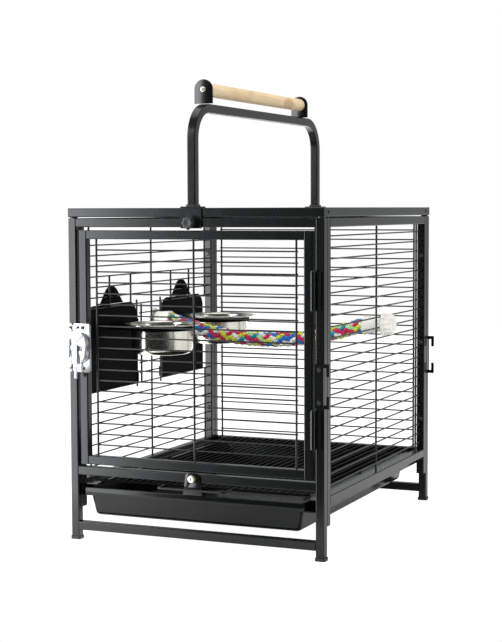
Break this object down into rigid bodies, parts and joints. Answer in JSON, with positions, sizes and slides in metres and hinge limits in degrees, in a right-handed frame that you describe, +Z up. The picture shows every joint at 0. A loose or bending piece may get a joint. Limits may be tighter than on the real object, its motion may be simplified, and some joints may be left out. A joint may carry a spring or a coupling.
{
  "type": "bird travel carrier",
  "caption": "Black tube-and-wire bird travel carrier with a latching front door, pull-out tray and grate, swing-out bowls, rope perch and wooden-grip carry handle.",
  "frame": {"origin": "centre of the footprint on the floor", "axes": "+Z up; -Y is the door side, +X the side with the door's hinges, -X the side with the feeders"},
  "size_m": [0.4202, 0.5176, 0.6624],
  "materials": {
    "powder_coat": "satin charcoal powder coat",
    "wire_coat": "satin black powder coat on wire",
    "feeder_coat": "satin black powder coat on sheet",
    "black_plastic": "moulded black plastic",
    "tray_plastic": "glossy black moulded plastic",
    "chrome": "polished nickel plate",
    "dark_steel": "blackened steel",
    "stainless": "spun stainless steel",
    "rope": "braided multicolour cotton rope",
    "white_plastic": "white moulded plastic",
    "wood_grip": "light hardwood, clear lacquer"
  },
  "bodies": {
    "frame": {"front_frame": "powder_coat", "back_frame": "powder_coat", "left_frame": "powder_coat", "right_frame": "powder_coat", "roof_frame": "powder_coat", "tube_plugs": "black_plastic", "roof_spacers": "dark_steel", "roof_screws": "dark_steel", "panel_bolts": "dark_steel", "foot_caps": "black_plastic", "back_grid": "wire_coat", "left_grid": "wire_coat", "right_grid": "wire_coat", "roof_grid": "wire_coat", "side_runners": "powder_coat", "hinge_post_leaves": "powder_coat", "hinge_pins": "dark_steel", "latch_keeper": "chrome", "keeper_screws": "chrome", "feeder_rods": "wire_coat", "perch_rope": "rope", "perch_caps": "white_plastic", "perch_bolts": "dark_steel", "handle_tube": "powder_coat", "handle_feet": "powder_coat", "grip_plates": "powder_coat", "wooden_grip": "wood_grip", "grip_screws": "chrome", "belt_hooks": "powder_coat", "hook_screws": "dark_steel"},
    "door": {"door_frame": "powder_coat", "door_grid": "wire_coat", "hinge_door_leaves": "powder_coat", "latch_mount": "powder_coat", "latch_body": "chrome", "latch_screws": "chrome"},
    "latch_bolt": {"latch_bolt": "chrome"},
    "tray": {"tray": "tray_plastic"},
    "grate": {"grate": "wire_coat", "grate_pull": "wire_coat", "grate_tab": "powder_coat"},
    "grate_screw": {"grate_screw": "chrome"},
    "knob_front": {"handle_knob_front": "black_plastic", "handle_bolt_front": "chrome"},
    "knob_rear": {"handle_knob_rear": "black_plastic", "handle_bolt_rear": "chrome"},
    "feeder_door_front": {"feeder_plate_front": "feeder_coat", "bowl_ring_front": "feeder_coat"},
    "feeder_door_rear": {"feeder_plate_rear": "feeder_coat", "bowl_ring_rear": "feeder_coat"},
    "feeder_latch_front": {"feeder_latch_front": "feeder_coat"},
    "feeder_latch_rear": {"feeder_latch_rear": "feeder_coat"},
    "bowl_front": {"bowl_front": "stainless"},
    "bowl_rear": {"bowl_rear": "stainless"},
    "perch_nut_left": {"perch_nut_left": "white_plastic"},
    "perch_nut_right": {"perch_nut_right": "white_plastic"}
  },
  "joints": [
    {"name": "door_swing", "type": "hinge", "parent": "frame", "child": "door", "pos_m": [0.18215, -0.249, 0.28], "axis": [0, 0, 1], "range_deg": [0, 165]},
    {"name": "latch_slide", "type": "slide", "parent": "door", "child": "latch_bolt", "axis": [1, 0, 0], "range_m": [0, 0.007], "stiffness_N_per_m": 250},
    {"name": "tray_slide", "type": "slide", "parent": "frame", "child": "tray", "axis": [0, -1, 0], "range_m": [0, 0.4]},
    {"name": "grate_slide", "type": "slide", "parent": "frame", "child": "grate", "axis": [0, -1, 0], "range_m": [0, 0.4]},
    {"name": "grate_screw_turn", "type": "hinge", "parent": "grate", "child": "grate_screw", "pos_m": [0, -0.245, 0.10165], "axis": [0, 1, 0], "continuous": true},
    {"name": "knob_front_turn", "type": "hinge", "parent": "frame", "child": "knob_front", "pos_m": [0, -0.245, 0.46135], "axis": [0, 1, 0], "continuous": true},
    {"name": "knob_rear_turn", "type": "hinge", "parent": "frame", "child": "knob_rear", "pos_m": [0, 0.245, 0.46135], "axis": [0, 1, 0], "continuous": true},
    {"name": "feeder_front_swing", "type": "hinge", "parent": "frame", "child": "feeder_door_front", "pos_m": [-0.19325, -0.041, 0.27], "axis": [0, 0, -1], "range_deg": [0, 90]},
    {"name": "feeder_rear_swing", "type": "hinge", "parent": "frame", "child": "feeder_door_rear", "pos_m": [-0.19325, 0.041, 0.27], "axis": [0, 0, 1], "range_deg": [0, 90]},
    {"name": "feeder_front_release", "type": "slide", "parent": "frame", "child": "feeder_latch_front", "axis": [0, 0, 1], "range_m": [0, 0.006]},
    {"name": "feeder_rear_release", "type": "slide", "parent": "frame", "child": "feeder_latch_rear", "axis": [0, 0, 1], "range_m": [0, 0.006]},
    {"name": "bowl_front_lift", "type": "slide", "parent": "feeder_door_front", "child": "bowl_front", "axis": [0, 0, 1], "range_m": [0, 0.06]},
    {"name": "bowl_rear_lift", "type": "slide", "parent": "feeder_door_rear", "child": "bowl_rear", "axis": [0, 0, 1], "range_m": [0, 0.06]},
    {"name": "perch_nut_left_turn", "type": "hinge", "parent": "frame", "child": "perch_nut_left", "pos_m": [-0.2, 0.02, 0.30595], "axis": [1, 0, 0], "continuous": true},
    {"name": "perch_nut_right_turn", "type": "hinge", "parent": "frame", "child": "perch_nut_right", "pos_m": [0.2, 0.02, 0.30595], "axis": [1, 0, 0], "continuous": true}
  ]
}
